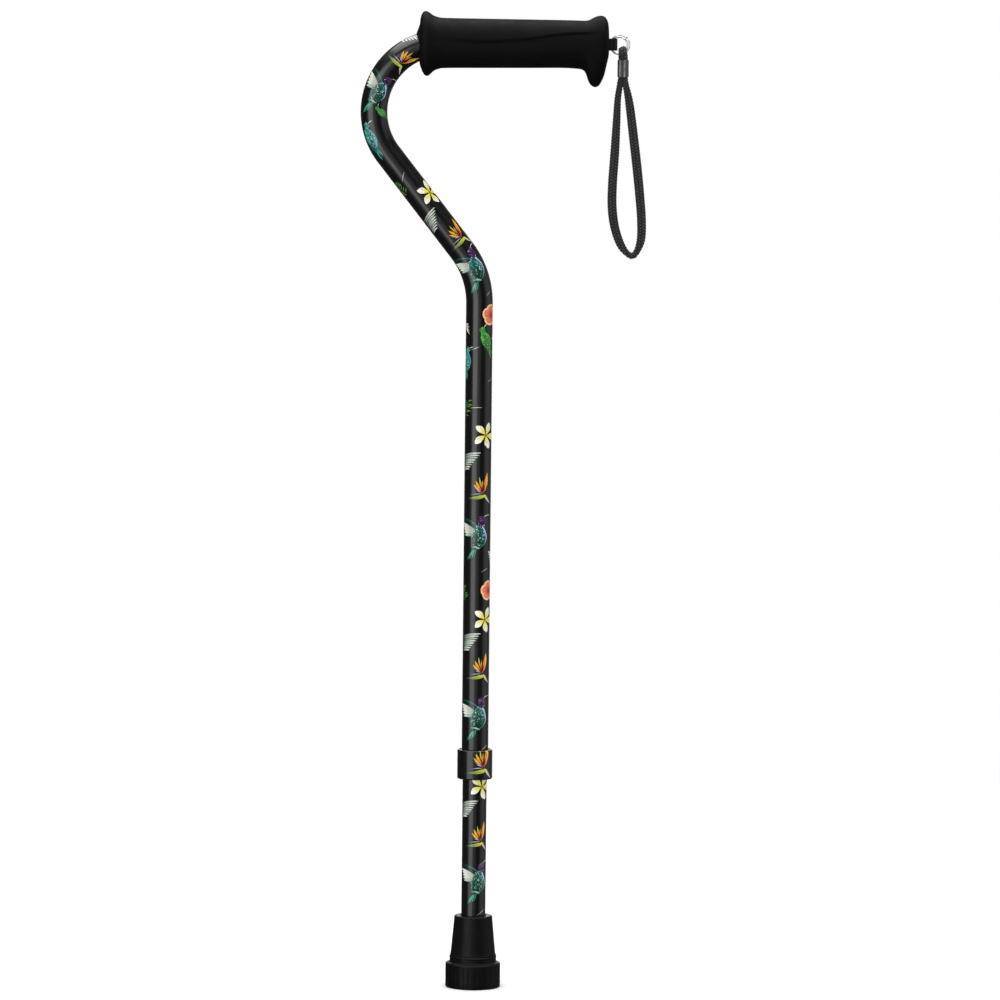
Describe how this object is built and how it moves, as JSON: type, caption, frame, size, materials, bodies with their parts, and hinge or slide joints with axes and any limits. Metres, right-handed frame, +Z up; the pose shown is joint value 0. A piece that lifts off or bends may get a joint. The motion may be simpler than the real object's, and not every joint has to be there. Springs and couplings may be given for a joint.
{
  "type": "offset walking cane",
  "caption": "Walking cane with an offset handle: bent telescoping tube with push-button height setting, screw locking collar, soft grip, wrist strap and flared rubber tip.",
  "frame": {"origin": "centre of the rubber tip's bottom face, on the shaft's axis, where the cane meets the floor", "axes": "+Z up along the shaft, +X from the shaft towards the handle's free end, +Y towards the side with the adjustment holes and the snap button"},
  "size_m": [0.2366, 0.0458, 0.8127],
  "materials": {
    "printed_tube": "high gloss black with a printed tropical flower and hummingbird pattern",
    "printed_collar": "high gloss black with the same print",
    "grip_rubber": "matt soft-touch",
    "black_plastic": "satin",
    "nylon": "natural",
    "spring_steel": "satin",
    "zinc_steel": "satin",
    "chrome_wire": "polished",
    "crimp_metal": "satin grey",
    "tip_rubber": "semi-matt",
    "braided_cord": "fine braid"
  },
  "bodies": {
    "upper": {"upper_tube": "printed_tube", "handle_grip": "grip_rubber", "handle_end_plug": "black_plastic", "thread_sleeve": "black_plastic"},
    "lower": {"lower_tube": "printed_tube", "glide_sleeve": "nylon", "snap_spring": "spring_steel", "rubber_tip": "tip_rubber", "tip_washer": "zinc_steel"},
    "button": {"snap_button": "zinc_steel"},
    "bush": {"silencer_bush": "nylon"},
    "collar": {"locking_collar": "printed_collar"},
    "ring": {"strap_ring": "chrome_wire"},
    "strap": {"strap_crimp": "crimp_metal", "wrist_strap": "braided_cord"}
  },
  "joints": [
    {"name": "height_adjust", "type": "slide", "parent": "lower", "child": "upper", "axis": [0, 0, 1], "range_m": [-0.0508, 0.1016]},
    {"name": "button_press", "type": "slide", "parent": "lower", "child": "button", "axis": [0, -1, 0], "range_m": [0, 0.0036], "stiffness_N_per_m": 800, "springref_m": -0.002, "deforming": ["snap_spring"]},
    {"name": "bush_shift", "type": "slide", "parent": "upper", "child": "bush", "axis": [0, 0, 1], "range_m": [-0.0031, 0]},
    {"name": "collar_turn", "type": "hinge", "parent": "bush", "child": "collar", "pos_m": [0, 0, 0.18725], "axis": [0, 0, 1], "range_deg": [-540, 0]},
    {"name": "ring_swing", "type": "hinge", "parent": "upper", "child": "ring", "pos_m": [0.1073, 0, 0.786], "axis": [0, 0, 1], "range_deg": [-35, 35]},
    {"name": "strap_swing", "type": "hinge", "parent": "ring", "child": "strap", "pos_m": [0.1163, 0, 0.7788], "axis": [0.9458, 0, 0.3249], "range_deg": [-40, 40]}
  ],
  "couplings": [
    {"joint": "bush_shift", "follows": "collar_turn", "m_per_rad": 0.00031831}
  ]
}
